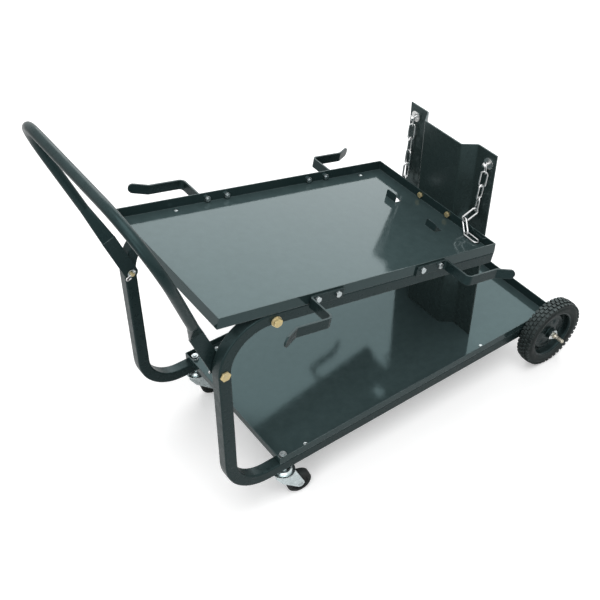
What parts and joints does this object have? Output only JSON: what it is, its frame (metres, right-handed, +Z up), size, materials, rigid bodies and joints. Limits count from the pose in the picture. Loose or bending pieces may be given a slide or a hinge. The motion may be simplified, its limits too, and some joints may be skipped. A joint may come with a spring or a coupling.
{
  "type": "welding cart",
  "caption": "Welding cart with bent square tube side frames, a sloping top tray, a lower tray with a gas bottle plate and chains, cable hooks, folding push handle, swivel casters and large rear wheels.",
  "frame": {"origin": "on the floor, at the middle of the overall length and of the overall width", "axes": "+X runs along the cart from the push handle to the rear wheels, +Y across the cart, +Z up"},
  "size_m": [1.2861, 0.637, 0.9802],
  "materials": {
    "frame_paint": "gloss",
    "tray_paint": "gloss",
    "plate_paint": "semi-gloss",
    "rim_paint": "semi-gloss",
    "plug_plastic": "matt",
    "yellow_zinc": "yellow passivated zinc",
    "zinc": "clear passivated zinc",
    "bright_wire": "bright drawn wire",
    "chain_zinc": "bright zinc",
    "caster_zinc": "bright zinc",
    "axle_steel": "drawn steel",
    "tyre": "matt",
    "caster_rubber": "matt"
  },
  "bodies": {
    "frame": {"side_frame_near": "frame_paint", "side_frame_far": "frame_paint", "rail_plugs": "plug_plastic", "cross_tube": "frame_paint", "cross_bolts": "yellow_zinc", "upper_tray": "tray_paint", "lower_tray": "tray_paint", "tray_screws": "zinc", "pivot_pins": "yellow_zinc", "pivot_washers": "zinc", "hairpin_clips": "bright_wire", "bottle_plate": "plate_paint", "plate_bolts": "yellow_zinc", "plate_nuts": "yellow_zinc", "foot_bolts": "zinc", "foot_nuts": "zinc", "chain_studs": "bright_wire", "chain_near": "chain_zinc", "hook_front_near": "frame_paint", "hook_front_far": "frame_paint", "hook_rear_near": "frame_paint", "hook_rear_far": "frame_paint", "hook_bolts": "zinc", "hook_nuts": "zinc", "rear_axle": "axle_steel", "axle_saddles": "frame_paint", "wheel_washers": "zinc", "split_pins": "bright_wire", "caster_stems": "zinc", "caster_nuts": "zinc", "caster_races": "caster_zinc"},
    "push_handle": {"handle": "frame_paint"},
    "rear_wheel_near": {"tyre_near": "tyre", "rim_near": "rim_paint"},
    "rear_wheel_far": {"tyre_far": "tyre", "rim_far": "rim_paint"},
    "caster_swivel_near": {"caster_yoke_near": "caster_zinc", "caster_rivet_near": "zinc"},
    "caster_swivel_far": {"caster_yoke_far": "caster_zinc", "caster_rivet_far": "zinc"},
    "caster_roller_near": {"caster_wheel_near": "caster_rubber"},
    "caster_roller_far": {"caster_wheel_far": "caster_rubber"},
    "hung_chain": {"chain_far": "chain_zinc"}
  },
  "joints": [
    {"name": "handle_fold", "type": "hinge", "parent": "frame", "child": "push_handle", "pos_m": [-0.46786, 0, 0.51805], "axis": [0, 1, 0], "range_deg": [-140, 5]},
    {"name": "rear_wheel_near_spin", "type": "hinge", "parent": "frame", "child": "rear_wheel_near", "pos_m": [0.54143, -0.24, 0.1016], "axis": [0, 1, 0], "continuous": true},
    {"name": "rear_wheel_far_spin", "type": "hinge", "parent": "frame", "child": "rear_wheel_far", "pos_m": [0.54143, 0.24, 0.1016], "axis": [0, 1, 0], "continuous": true},
    {"name": "caster_near_swivel", "type": "hinge", "parent": "frame", "child": "caster_swivel_near", "pos_m": [-0.32027, -0.201, 0.09265], "axis": [0, 0, 1], "continuous": true},
    {"name": "caster_far_swivel", "type": "hinge", "parent": "frame", "child": "caster_swivel_far", "pos_m": [-0.32027, 0.201, 0.09265], "axis": [0, 0, 1], "continuous": true},
    {"name": "caster_near_roll", "type": "hinge", "parent": "caster_swivel_near", "child": "caster_roller_near", "pos_m": [-0.28131, -0.20689, 0.032], "axis": [0.1495, 0.9888, 0], "continuous": true},
    {"name": "caster_far_roll", "type": "hinge", "parent": "caster_swivel_far", "child": "caster_roller_far", "pos_m": [-0.28131, 0.19511, 0.032], "axis": [0.1495, 0.9888, 0], "continuous": true},
    {"name": "chain_far_swing", "type": "hinge", "parent": "frame", "child": "hung_chain", "pos_m": [0.31203, 0.1286, 0.67638], "axis": [1, 0, 0], "range_deg": [-8, 12]}
  ]
}
